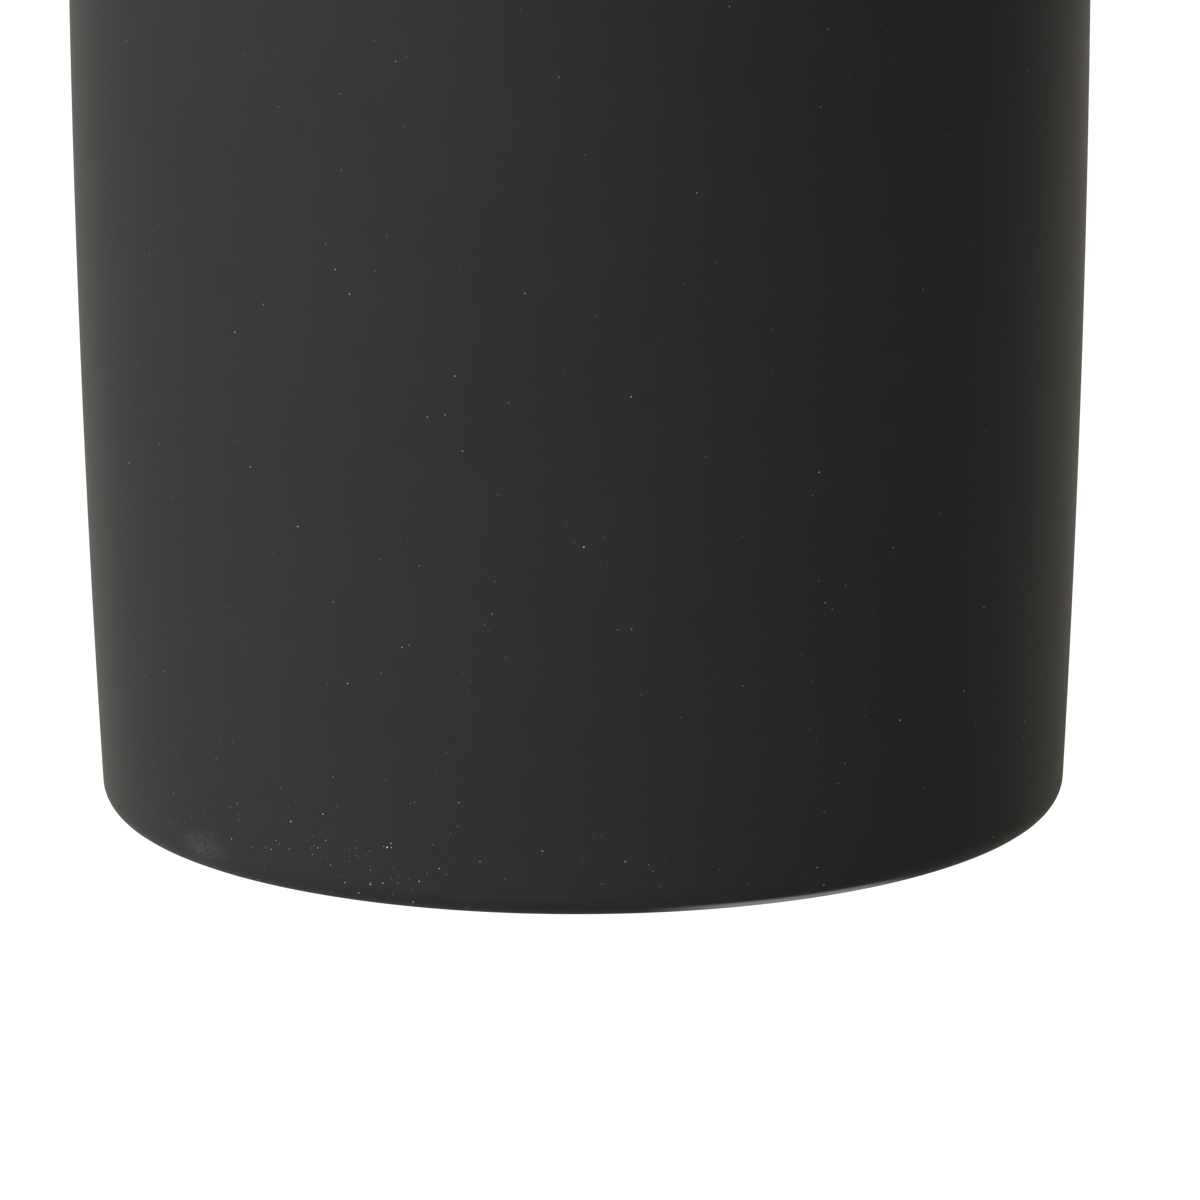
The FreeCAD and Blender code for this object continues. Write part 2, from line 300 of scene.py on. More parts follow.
class Paint:
    """A material or world under construction, with one method that adds any node."""

    def __init__(self, owner: bpy.types.Material | bpy.types.World, coordinates: str = "Object") -> None:
        """Clears the owner's nodes and starts from one kind of coordinates."""
        owner.use_nodes = True
        self.owner = owner
        self.tree = owner.node_tree
        self.tree.nodes.clear()
        self.place = self.node("ShaderNodeTexCoord", output=coordinates)

    @classmethod
    def coat(cls, name: str) -> "Paint":
        """Starts a new material."""
        return cls(bpy.data.materials.new(name))

    def node(self, kind: str, settings: dict[str, Any] | None = None,
             sockets: dict[str | int, Any] | None = None, output: str | int = 0) -> Wire:
        """Adds a node.

        Args:
            kind: The node's Blender type.
            settings: Properties that are set first, such as a Math node's operation.
            sockets: Values or wires for its inputs, by name or number.
            output: The output that is returned.

        Returns:
            The chosen output as a wire.
        """
        made = self.tree.nodes.new(kind)
        for key, value in (settings or {}).items():
            setattr(made, key, value)
        for key, value in (sockets or {}).items():
            if isinstance(value, Wire):
                self.tree.links.new(value.socket, made.inputs[key])
            else:
                made.inputs[key].default_value = value
        return Wire(self, made.outputs[output])

    def vector(self, operation: str, a: "Wire | Iterable[float]", b: "Wire | Iterable[float]",
               output: str | int = 0) -> Wire:
        """One Vector Math node on two vectors."""
        return self.node("ShaderNodeVectorMath", {"operation": operation}, {0: a, 1: b}, output)

    def part(self, vector: Wire, axis: str) -> Wire:
        """One component, "X", "Y" or "Z", of a vector."""
        return self.node("ShaderNodeSeparateXYZ", None, {0: vector}, axis)

    def noise(self, scale: float, detail: float = 2.0, stretch: Colour = (1.0, 1.0, 1.0),
              rough: float = 0.5) -> Wire:
        """Cloudy noise from 0 to 1 on the object's coordinates.

        Args:
            scale: Waves per metre.
            detail: Octaves of finer noise.
            stretch: How many times as fast the noise changes along X, Y and Z.
            rough: Strength of each finer octave.

        Returns:
            The noise value.
        """
        place = self.vector("MULTIPLY", self.place, stretch)
        sockets = {"Vector": place, "Scale": scale, "Detail": detail, "Roughness": rough}
        return self.node("ShaderNodeTexNoise", None, sockets, "Fac")

    def specks(self, pitch: float, size: float, share: "Wire | float") -> Wire:
        """Small round specks scattered through space, seen where the surface cuts them.

        Space is divided into random cells. A speck is a soft ball at a cell's centre, and only cells whose
        own random number is under share have one. A second random number sets how pale it is.

        Args:
            pitch: Mean distance between cell centres, in metres.
            size: Radius of a speck, in metres.
            share: Share of the cells that hold a speck, from 0 to 1.

        Returns:
            From 0.3 to 1 in the middle of a speck, 0 outside.
        """
        sockets = {"Vector": self.place, "Scale": 1.0 / pitch}
        distance = self.node("ShaderNodeTexVoronoi", None, sockets, "Distance")
        tint = Wire(self, distance.socket.node.outputs["Color"])
        chance, pale = (self.node("ShaderNodeSeparateColor", None, {0: tint}, c) for c in ("Red", "Green"))
        held = chance.maths("LESS_THAN", chance, share) * (0.3 + 0.7 * pale * pale)
        return distance.within(size / pitch, 0.4 * size / pitch) * held

    def mix(self, share: "Wire | float", low: "Wire | Colour", high: "Wire | Colour") -> Wire:
        """A colour that goes from low to high as share goes from 0 to 1."""
        low, high = (c if isinstance(c, Wire) else (*c, 1.0) for c in (low, high))
        sockets = {"Factor": share, 6: low, 7: high}
        return self.node("ShaderNodeMix", {"data_type": "RGBA"}, sockets, 2)

    def bump(self, height: Wire, depth: float) -> Wire:
        """A normal for a surface whose height goes from 0 to depth metres as the wire goes from 0 to 1."""
        return self.node("ShaderNodeBump", None, {"Height": height, "Distance": depth, "Strength": 1.0})

    def finish(self, sockets: dict[str, Any]) -> bpy.types.Material:
        """Adds the Principled shader and the output, and gives back the finished material."""
        shader = self.node("ShaderNodeBsdfPrincipled", None, sockets)
        self.connect("ShaderNodeOutputMaterial", shader)
        return self.owner

    def connect(self, kind: str, shader: Wire) -> None:
        """Adds an output node of this kind and connects a shader to it."""
        made = self.tree.nodes.new(kind)
        self.tree.links.new(shader.socket, made.inputs["Surface"])


# ----------------------------------------------------------------------------------------- finishes


@dataclass(frozen=True)
class SatinLacquer:
    """Black lacquer sprayed on glass: satin, with fine orange peel, dust, a scuff near the heel and a pale
    highlight painted along the heel's lower edge.

    Attributes:
        tone: Colour of the clean film.
        dust: Colour of the specks of lint and dust.
        heel_highlight: Colour of the pale highlight painted along the heel's lower edge, standing in for the
            floor's reflection there.
        gloss: Roughness of the clean film.
        specular_level: Strength of its reflection.
        dusty_spot: Middle of the stretch of heel where dust has gathered.
        dusty_reach: Half sizes of that stretch.
        scuff_spot: Middle of a hazy scuff.
        scuff_reach: Half sizes of the scuff.
        heel_highlight_from: Where the painted highlight on the heel's lower edge starts, along X.
        heel_highlight_to: Where it ends.
        heel_highlight_fade_in: How far it takes to reach full strength from its start.
        heel_highlight_fade_out: How far it takes to fade out towards its end.
        heel_highlight_top: Height at which it starts to show.
        heel_highlight_full: Height below which it is at full strength.
        heel_highlight_share: How far the painted highlight's colour covers the film there.
        lint_pitch: Mean distance between cells that may hold a piece of lint.
        lint_size: Radius of a piece of lint.
        fleck_pitch: The same distance for small flecks.
        fleck_size: Radius of a fleck.
        fine_pitch: The same distance for the finest dust.
        fine_size: Radius of a grain of it.
        low_from: Height under which dust becomes more common.
        low_full: Height under which it is most common.
        peel_depth: Height of the orange peel.
    """

    tone: Colour = (0.0151, 0.0166, 0.0206)
    dust: Colour = (0.62, 0.61, 0.60)
    heel_highlight: Colour = (0.60, 0.63, 0.69)
    gloss: float = 0.42
    specular_level: float = 0.040
    dusty_spot: Colour = (-0.0210, -0.0320, 0.0030)
    dusty_reach: Colour = (0.0200, 0.0150, 0.0062)
    scuff_spot: Colour = (-0.0292, -0.0250, 0.0022)
    scuff_reach: Colour = (0.0040, 0.0040, 0.0018)
    heel_highlight_from: float = 4.0 * MM
    heel_highlight_to: float = 26.0 * MM
    heel_highlight_fade_in: float = 9.0 * MM
    heel_highlight_fade_out: float = 5.0 * MM
    heel_highlight_top: float = 0.85 * MM
    heel_highlight_full: float = 0.45 * MM
    heel_highlight_share: float = 0.42
    lint_pitch: float = 1.7 * MM
    lint_size: float = 0.080 * MM
    fleck_pitch: float = 0.52 * MM
    fleck_size: float = 0.062 * MM
    fine_pitch: float = 0.27 * MM
    fine_size: float = 0.038 * MM
    low_from: float = 45.0 * MM
    low_full: float = 4.0 * MM
    peel_depth: float = 0.0022 * MM

    def material(self) -> bpy.types.Material:
        """The finish as a Blender material."""
        paint = Paint.coat("satin_black_lacquer")
        height = paint.part(paint.place, "Z")
        cloud = paint.noise(55.0, 3.0)
        mottle = paint.noise(420.0, 2.0)
        peel = paint.noise(950.0, 2.0)
        grain = paint.noise(5200.0, 1.0)
        dusty = self._near(paint, self.dusty_spot, self.dusty_reach)
        drift = dusty * paint.noise(250.0, 3.0).within(0.38, 0.60)
        low = height.within(self.low_from, self.low_full)
        lint = paint.specks(self.lint_pitch, self.lint_size, 0.08 + 0.14 * low + 0.5 * drift)
        rubbed = self._near(paint, self.scuff_spot, self.scuff_reach)
        fleck_share = 0.014 + 0.035 * low + 0.75 * drift + 0.3 * rubbed
        flecks = paint.specks(self.fleck_pitch, self.fleck_size, fleck_share)
        fine_share = 0.012 + 0.03 * low + 0.50 * drift + 0.6 * rubbed
        fines = paint.specks(self.fine_pitch, self.fine_size, fine_share)
        scuff = rubbed * paint.noise(4200.0, 3.0, rough=0.7).within(0.30, 0.75)
        # Painted highlight: a pale band on the front of the heel's lower edge that stands in for the floor's
        # reflection on its rounding. The film is also made a little rougher there.
        painted_highlight = self._heel_highlight_band(paint, height)
        marks = 0.9 * lint + 0.85 * flecks + 0.6 * fines + 0.045 * scuff
        thin, thick = (tuple(share * c for c in self.tone) for share in (0.88, 1.12))
        film = paint.mix(0.55 * cloud + 0.45 * mottle, thin, thick)
        rough = self.gloss + 0.05 * (cloud - 0.5) + 0.05 * (mottle - 0.5) + 0.25 * marks + 0.08 * painted_highlight
        relief = 0.8 * peel + 0.2 * grain + 3.0 * lint
        return paint.finish({
            # The painted highlight's pale colour goes over the film and the dust here.
            "Base Color": paint.mix(self.heel_highlight_share * painted_highlight, paint.mix(marks, film, self.dust), self.heel_highlight),
            "Roughness": rough,
            "Normal": paint.bump(relief, self.peel_depth),
            "Specular IOR Level": self.specular_level,
        })

    def _heel_highlight_band(self, paint: Paint, height: Wire) -> Wire:
        """1 along the stretch of the heel's front where a highlight is painted, 0 elsewhere: a product of
        four soft windows.

        Args:
            paint: The material being made.
            height: The Z coordinate.

        Returns:
            The strength of the painted highlight.
        """
        x, y = (paint.part(paint.place, axis) for axis in "XY")
        starts = x.within(self.heel_highlight_from, self.heel_highlight_from + self.heel_highlight_fade_in)
        ends = x.within(self.heel_highlight_to, self.heel_highlight_to - self.heel_highlight_fade_out)
        front = y.within(0.0, -self.heel_highlight_fade_out)
        return height.within(self.heel_highlight_top, self.heel_highlight_full) * starts * ends * front

    @staticmethod
    def _near(paint: Paint, spot: Colour, reach: Colour) -> Wire:
        """1 at a spot, falling smoothly to 0 at the surface of an ellipsoid of these half sizes round it."""
        away = paint.vector("DIVIDE", paint.vector("SUBTRACT", paint.place, spot), reach)
        distance = paint.node("ShaderNodeVectorMath", {"operation": "LENGTH"}, {0: away}, "Value")
        return distance.within(1.0, 0.0)


@dataclass(frozen=True)
class ClearGlass:
    """Soda-lime glass with a faint grey-green cast and gentle waves left by the mould.

    Light from the room passes straight through it to the lacquer behind, instead of stopping at its surface.

    Attributes:
        tint: Share of each colour that it lets through.
        gloss: Roughness of its surface.
        refraction: Index of refraction.
        wave_depth: Height of the waves.
    """

    tint: Colour = (0.955, 0.97, 0.962)
    gloss: float = 0.03
    refraction: float = 1.52
    wave_depth: float = 0.04 * MM

    def material(self) -> bpy.types.Material:
        """The finish as a Blender material."""
        paint = Paint.coat("clear_glass")
        waves = paint.noise(48.0, 2.0, (1.0, 1.0, 0.35))
        glass = paint.node("ShaderNodeBsdfPrincipled", None, {
            "Base Color": (*self.tint, 1.0),
            "Roughness": self.gloss,
            "IOR": self.refraction,
            "Transmission Weight": 1.0,
            "Normal": paint.bump(waves, self.wave_depth),
        })
        through = paint.node("ShaderNodeBsdfTransparent", None, {"Color": (*self.tint, 1.0)})
        lighting = paint.node("ShaderNodeLightPath", output="Is Shadow Ray")
        both = paint.node("ShaderNodeMixShader", None, {0: lighting, 1: glass, 2: through})
        paint.connect("ShaderNodeOutputMaterial", both)
        return paint.owner


@dataclass(frozen=True)
class OiledBamboo:
    """Edge-laminated bamboo: upright strips glued side by side, sanded and oiled.

    The grain runs along X. Every strip has a tone of its own, fibre bundles that crowd towards one of its
    sides, and growth nodes at random places along its length.

    Attributes:
        pale: Colour of the palest strip.
        warm: Colour of the darkest strip.
        fibre: Colour of the fibre bundles and of the growth nodes.
        glue: Colour of the glue lines.
        strip: Width of a strip, across the grain.
        first_strip: Where the first glue line lies, as a share of a strip.
        glue_width: Width of a glue line.
        node_width: Half width of a growth node along the grain.
        node_spread: How far from the middle a strip's growth node may lie.
        bend: How far the glue lines wander.
        bundle_pitch: Mean distance between fibre bundles.
        hair_pitch: Mean distance between the finest fibres.
        relief_depth: Depth of the open grain.
        gloss: Roughness of the oiled wood.
        specular_level: Strength of its reflection.
    """

    pale: Colour = (0.56, 0.388, 0.206)
    warm: Colour = (0.35, 0.203, 0.087)
    fibre: Colour = (0.17, 0.082, 0.029)
    glue: Colour = (0.15, 0.070, 0.026)
    strip: float = 5.6 * MM
    first_strip: float = 0.37
    glue_width: float = 0.09 * MM
    node_width: float = 1.5 * MM
    node_spread: float = 130.0 * MM
    bend: float = 0.25 * MM
    bundle_pitch: float = 0.42 * MM
    hair_pitch: float = 0.23 * MM
    relief_depth: float = 0.020 * MM
    gloss: float = 0.52
    specular_level: float = 0.10

    def material(self) -> bpy.types.Material:
        """The finish as a Blender material."""
        paint = Paint.coat("oiled_bamboo")
        x, y = (paint.part(paint.place, axis) for axis in "XY")
        bend = self.bend * (paint.noise(18.0, 1.0) - 0.5)
        across = (y + bend) / self.strip + self.first_strip
        number = across.floor()
        inside = across - number
        tone, flip, spot = (self._lottery(paint, number, salt) for salt in (3.1, 17.7, 41.3))
        crowd = paint.node("ShaderNodeMix", None, {"Factor": flip > 0.5, 2: inside, 3: 1.0 - inside})
        streak = paint.noise(1.0, 4.0, (28.0, 1500.0, 1500.0), 0.6)
        broad = paint.noise(1.0, 2.0, (9.0, 320.0, 320.0))
        bundles = self._bundles(paint, self.bundle_pitch, 0.30) * crowd.within(0.05, 0.95)
        hairs = self._bundles(paint, self.hair_pitch, 0.26) * crowd.within(-0.3, 0.6)
        node_at = (spot - 0.5) * (2.0 * self.node_spread)
        wobble = 0.9 * MM * (paint.noise(600.0, 2.0) - 0.5)
        from_node = abs(x - node_at + wobble)
        ridge = from_node.within(self.node_width, 0.2 * self.node_width)
        fringe = from_node.within(3.2 * self.node_width, 0.6 * self.node_width)
        edge = abs(inside - 0.5).within(0.5 - self.glue_width / self.strip, 0.5)
        body = paint.mix(0.72 * tone + 0.28 * crowd + 0.40 * (broad - 0.5), self.pale, self.warm)
        fibres = 0.60 * bundles + 0.40 * hairs + 0.50 * streak.within(0.48, 0.80)
        grained = paint.mix(fibres + 0.20 * fringe, body, self.fibre)
        noded = paint.mix(0.62 * ridge, grained, self.fibre)
        relief = 1.0 - 0.5 * bundles - 0.3 * hairs - 0.5 * edge + 0.25 * ridge + 0.2 * streak
        return paint.finish({
            "Base Color": paint.mix(0.75 * edge, noded, self.glue),
            "Roughness": self.gloss + 0.12 * fibres + 0.10 * (broad - 0.5),
            "Normal": paint.bump(relief, self.relief_depth),
            "Specular IOR Level": self.specular_level,
        })

    @staticmethod
    def _lottery(paint: Paint, number: Wire, salt: float) -> Wire:
        """A random value from 0 to 1 for each whole number, different for each salt."""
        line = {"noise_dimensions": "1D"}
        return paint.node("ShaderNodeTexWhiteNoise", line, {"W": number + salt}, "Value")

    @staticmethod
    def _bundles(paint: Paint, pitch: float, size: float) -> Wire:
        """Long thin fibre bundles: dots on a cut across the grain, fine dashes along it.

        Random cells are stretched a hundred times along X, and each holds a soft core.

        Args:
            paint: The material being made.
            pitch: Mean distance between bundles, in metres.
            size: Radius of a bundle as a share of the pitch.

        Returns:
            1 in the middle of a bundle, 0 outside.
        """
        stretched = paint.vector("MULTIPLY", paint.place, (0.01, 1.0, 1.0))
        sockets = {"Vector": stretched, "Scale": 1.0 / pitch}
        distance = paint.node("ShaderNodeTexVoronoi", None, sockets, "Distance")
        return distance.within(size, 0.35 * size)


@dataclass(frozen=True)
class SoftSilicone:
    """Milky translucent silicone rubber with a soft matte skin that holds a little lint.

    Attributes:
        tone: Colour of the rubber.
        lint: Colour of the lint on it.
        lint_pitch: Mean distance between cells that may hold a piece of lint.
        lint_size: Radius of a piece of lint.
        skin_depth: Height of the skin's fine roughness.
        light_reach: How far light spreads inside the rubber.
        refraction: Index of refraction.
        gloss: Roughness of the skin.
    """

    tone: Colour = (0.80, 0.80, 0.765)
    lint: Colour = (0.30, 0.28, 0.25)
    lint_pitch: float = 1.1 * MM
    lint_size: float = 0.05 * MM
    skin_depth: float = 0.004 * MM
    light_reach: float = 0.8 * MM
    refraction: float = 1.41
    gloss: float = 0.46

    def material(self) -> bpy.types.Material:
        """The finish as a Blender material."""
        paint = Paint.coat("soft_silicone")
        cloud = paint.noise(160.0, 3.0)
        skin = paint.noise(3800.0, 2.0)
        lint = paint.specks(self.lint_pitch, self.lint_size, 0.22)
        milky = paint.mix(cloud, tuple(0.93 * c for c in self.tone), self.tone)
        return paint.finish({
            "Base Color": paint.mix(0.7 * lint, milky, self.lint),
            "Roughness": self.gloss + 0.10 * (cloud - 0.5),
            "Normal": paint.bump(skin, self.skin_depth),
            "Subsurface Weight": 0.35,
            "Subsurface Radius": (1.0, 0.95, 0.85),
            "Subsurface Scale": self.light_reach,
            "IOR": self.refraction,
        })


@dataclass(frozen=True)
class PaperFloor:
    """Matte white background paper, so brightly lit that it is plain white to the eye.

    Attributes:
        tone: The paper's own colour, which takes the window's light and the jar's shadow.
        glow: Colour of the even light that it sends up into the jar.
        glow_strength: How much of that light there is.
        seen_white: Brightness of the paper to the eye.
    """

    tone: Colour = (0.255, 0.255, 0.255)
    glow: Colour = (1.0, 0.93, 0.77)
    glow_strength: float = 0.49
    seen_white: float = 1.1

    def material(self) -> bpy.types.Material:
        """The finish as a Blender material."""
        paint = Paint.coat("white_paper")
        fibre = paint.noise(900.0, 3.0)
        paper = paint.node("ShaderNodeBsdfPrincipled", None, {
            "Base Color": paint.mix(fibre, tuple(0.985 * c for c in self.tone), self.tone),
            "Roughness": 0.9,
            "Specular IOR Level": 0.2,
            "Emission Color": (*self.glow, 1.0),
            "Emission Strength": self.glow_strength,
        })
        white = paint.node("ShaderNodeEmission", None, {"Strength": self.seen_white})
        seen = paint.node("ShaderNodeLightPath", output="Is Camera Ray")
        both = paint.node("ShaderNodeMixShader", None, {0: seen, 1: paper, 2: white})
        paint.connect("ShaderNodeOutputMaterial", both)
        return paint.owner


# --------------------------------------------------------------------------------------- the object


class Body(Enum):
    """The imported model's moving bodies."""

    JAR = "jar"
    SEAL = "seal"
    LID = "lid"


def mount(piece: bpy.types.Object, body: Body, node: str | None,
          material: bpy.types.Material) -> bpy.types.Object:
    """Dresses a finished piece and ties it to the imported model.

    Args:
        piece: The new object.
        body: The body that it moves with.
        node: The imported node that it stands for, if it does.
        material: Its finish.

    Returns:
        The same object.
    """
    piece.data.materials.append(material)
    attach(piece, body.value)
    if node is not None:
        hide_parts(node)
    LOG.info("%s: %d faces on %s", piece.name, len(piece.data.polygons), body.value)
    return piece


@dataclass
class LacqueredJar:
    """The jar: pressed glass with a film of lacquer sprayed over its outside.

    The film's inner face lies inside the glass, so that no air gap shows between the two.

    Attributes:
        radius: Outside of the upper wall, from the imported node.
        height: Foot to rim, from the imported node.
        taper_height: Height up to which the wall widens.
        base_inset: How much narrower the wall would be at the very foot.
        wall: Thickness of the wall.
        floor: Height of the cavity's floor.
        heel: Radius of the rounding between wall and foot.
        corner: Radius of the rounding between floor and wall inside.
        rim: Radius of the rim's two roundings.
        foot_ring: Inner radius of the ring that the jar stands on.
        step_run: How far in the small step above the ring goes.
        step_rise: How high that step goes.
        step_fillet: Radius of its roundings.
        push_up: Height of the hollow under the foot at its middle.
        film: Thickness of the lacquer.
        film_stop_deg: Where the lacquer ends on the rim's outer rounding, 90 being the very top.
        knurls: Number of notches round the foot ring.
        knurl_depth: Depth of a notch.
        knurl_lean: How many notches a notch slants over on its way across the ring.
        knurl_fade: Height above the foot at which the notches have run out.
        segments: Steps round the axis.
        arc_steps: Steps along each quarter of the heel and the rim.
        turn_steps: Steps along the cavity's corner, and along the crown of the hollow.
        inner_steps: Steps up the wall inside.
        outer_steps: Steps down the wall outside.
    """

    radius: float = field(default_factory=lambda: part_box("glass_jar")[1].x)
    height: float = field(default_factory=lambda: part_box("glass_jar")[1].z)
    taper_height: float = 65.0 * MM
    base_inset: float = 1.5 * MM
    wall: float = 3.0 * MM
    floor: float = 8.0 * MM
    heel: float = 2.0 * MM
    corner: float = 7.0 * MM
    rim: float = 1.4 * MM
    foot_ring: float = 30.5 * MM
    step_run: float = 0.9 * MM
    step_rise: float = 0.7 * MM
    step_fillet: float = 0.7 * MM
    push_up: float = 1.8 * MM
    film: float = 0.06 * MM
    film_stop_deg: float = 62.0
    knurls: int = 80
    knurl_depth: float = 0.14 * MM
    knurl_lean: float = 0.6
    knurl_fade: float = 0.5 * MM
    segments: int = 480
    arc_steps: int = 9
    turn_steps: int = 12
    inner_steps: int = 26
    outer_steps: int = 30

    def inset(self, height: np.ndarray | float) -> np.ndarray:
        """How much narrower the wall is at a height: the sagitta of a long arc that ends at taper_height."""
        curve = (self.taper_height**2 + self.base_inset**2) / (2.0 * self.base_inset)
        drop = np.maximum(self.taper_height - height, 0.0)
        return curve - np.sqrt(curve**2 - drop**2)

    def wall_line(self, radius: float, begin: float, finish: float, steps: int) -> np.ndarray:
        """Points on a wall whose upper stretch has this radius, between two heights."""
        height = run((0.0, begin), (0.0, finish), steps)[:, 1]
        return np.stack([radius - self.inset(height), height], axis=1)

    def rim_arc(self, begin: float, finish: float, steps: int) -> np.ndarray:
        """Points on the rim's outer rounding between two angles, 90 being the rim's top."""
        return arc((self.radius - self.rim, self.height - self.rim), self.rim, begin, finish, steps)

    def inside(self) -> np.ndarray:
        """The cavity's half section, from the middle of the floor up to the top of the rim."""
        mouth = self.radius - self.wall
        turn = self.floor + self.corner
        edge = mouth - float(self.inset(turn)) - self.corner
        return joined(
            run((0.0, self.floor), (edge, self.floor), 10),
            arc((edge, turn), self.corner, -90.0, 0.0, self.turn_steps),
            self.wall_line(mouth, turn, self.height - self.rim, self.inner_steps),
            arc((mouth + self.rim, self.height - self.rim), self.rim, 180.0, 90.0, self.arc_steps),
        )

    def outside(self, top_deg: float) -> np.ndarray:
        """The outer half section, from a place on the rim's outer rounding down to the middle of the foot.

        Args:
            top_deg: Where it starts: 90 is the rim's top and 0 the start of the wall.

        Returns:
            Rows of (radius, height).
        """
        foot = self.radius - float(self.inset(self.heel)) - self.heel
        step_edge = self.foot_ring - self.step_run
        rise = self.push_up - self.step_rise
        dome = (step_edge**2 + rise**2) / (2.0 * rise)
        spread = math.degrees(math.asin(step_edge / dome))
        crown = arc((0.0, self.push_up - dome), dome, 90.0 - spread, 90.0, self.turn_steps)
        step = rounded(
            [
                (foot, 0.0, 0.0),
                (self.foot_ring, 0.0, self.step_fillet),
                (*crown[0], self.step_fillet),
                (*crown[1], 0.0),
            ],
            5,
        )
        return joined(
            self.rim_arc(top_deg, 0.0, self.arc_steps),
            self.wall_line(self.radius, self.height - self.rim, self.heel, self.outer_steps),
            arc((foot, self.heel), self.heel, 0.0, -90.0, self.arc_steps),
            run((foot, 0.0), step[1], 12),
            step[1:-1],
            crown[1:],
        )

    def knurl(self, radius: np.ndarray, height: np.ndarray,
              angle: np.ndarray) -> tuple[np.ndarray, np.ndarray]:
        """Raises slanting notches into the foot ring.

        The lift is depth * sin^2(knurls * angle / 2 + slant), times a smooth window over the ring's width,
        and it fades out above the ring.

        Args:
            radius: Radii of the grid.
            height: Heights of the grid.
            angle: Angles of the grid.

        Returns:
            The unchanged radii and the new heights.
        """
        foot = self.radius - self.base_inset - self.heel
        share = np.clip((radius - self.foot_ring) / (foot - self.foot_ring), 0.0, 1.0)
        window = np.sin(np.pi * share) ** 2
        slant = 2.0 * np.pi * share * self.knurl_lean
        lift = self.knurl_depth * np.sin(self.knurls * angle / 2.0 + slant) ** 2 * window
        fade = np.clip(1.0 - height / self.knurl_fade, 0.0, 1.0)
        return radius, height + lift * fade

    def glass(self) -> bpy.types.Object:
        """The glass itself, a closed solid whose coated faces lie half a film's thickness in."""
        bare = self.rim_arc(90.0, self.film_stop_deg, 4)
        coated = self.outside(self.film_stop_deg)
        sunk = set_in(coated, self.film / 2.0)
        sunk[0] = coated[0]
        return turned("jar_glass", joined(self.inside(), bare, sunk), self.segments, warp=self.knurl)

    def lacquer(self) -> bpy.types.Object:
        """The film: its outer face is the jar's outside, and its rim edge is a thin feather."""
        outer = self.outside(self.film_stop_deg)
        inner = set_in(outer, self.film)
        inner[0] = outer[0]
        return turned("jar_lacquer", joined(inner[::-1], outer), self.segments, warp=self.knurl)

    def build(self) -> None:
        """Makes the glass and its lacquer."""
        glass = self.glass()
        mount(glass, Body.JAR, "glass_jar", ClearGlass().material())
        mount(self.lacquer(), Body.JAR, None, SatinLacquer().material())


@dataclass
class BambooLid:
    """The lid: a disc with a plug below it, turned from one laminated board.

    Attributes:
        radius: Outside of the disc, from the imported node.
        foot: Height of the plug's lower face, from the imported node.
        top: Height of the lid's top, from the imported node.
        rim: Height of the jar's rim, which the disc rests on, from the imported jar.
        plug: Radius of the plug.
        plug_chamfer: Width of the chamfer round the plug's lower edge.
        seat: Radius of the groove's floor, which the seal sits on.
        seat_top: How far below the disc the groove starts.
        seat_height: Height of the groove.
        top_fillet: Radius of the top edge.
        under_fillet: Radius of the disc's lower edge.
        broken_edge: Radius of every other edge, broken with sandpaper.
        arc_steps: Steps along each rounding.
        support: Distance of the shading points from the ends of long stretches.
        segments: Steps round the axis.
    """

    radius: float = field(default_factory=lambda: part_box("bamboo_lid")[1].x)
    foot: float = field(default_factory=lambda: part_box("bamboo_lid")[0].z)
    top: float = field(default_factory=lambda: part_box("bamboo_lid")[1].z)
    rim: float = field(default_factory=lambda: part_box("glass_jar")[1].z)
    plug: float = 36.2 * MM
    plug_chamfer: float = 0.9 * MM
    seat: float = 34.4 * MM
    seat_top: float = 2.2 * MM
    seat_height: float = 4.0 * MM
    top_fillet: float = 1.5 * MM
    under_fillet: float = 0.6 * MM
    broken_edge: float = 0.12 * MM
    arc_steps: int = 8
    support: float = 0.15 * MM
    segments: int = 320

    def outline(self) -> np.ndarray:
        """The half section, from the middle of the top over the edge and down to the middle of the plug."""
        upper, lower = self.rim - self.seat_top, self.rim - self.seat_top - self.seat_height
        soft = self.broken_edge
        corners = [
            (0.0, self.top, 0.0),
            (self.radius, self.top, self.top_fillet),
            (self.radius, self.rim, self.under_fillet),
            (self.plug, self.rim, soft),
            (self.plug, upper, soft),
            (self.seat, upper, soft),
            (self.seat, lower, soft),
            (self.plug, lower, soft),
            (self.plug, self.foot + self.plug_chamfer, soft),
            (self.plug - self.plug_chamfer, self.foot, soft),
            (0.0, self.foot, 0.0),
        ]
        return padded_runs(rounded(corners, self.arc_steps), self.support)

    def build(self) -> None:
        """Makes the lid."""
        lid = turned("bamboo_lid_turned", self.outline(), self.segments)
        mount(lid, Body.LID, "bamboo_lid", OiledBamboo().material())


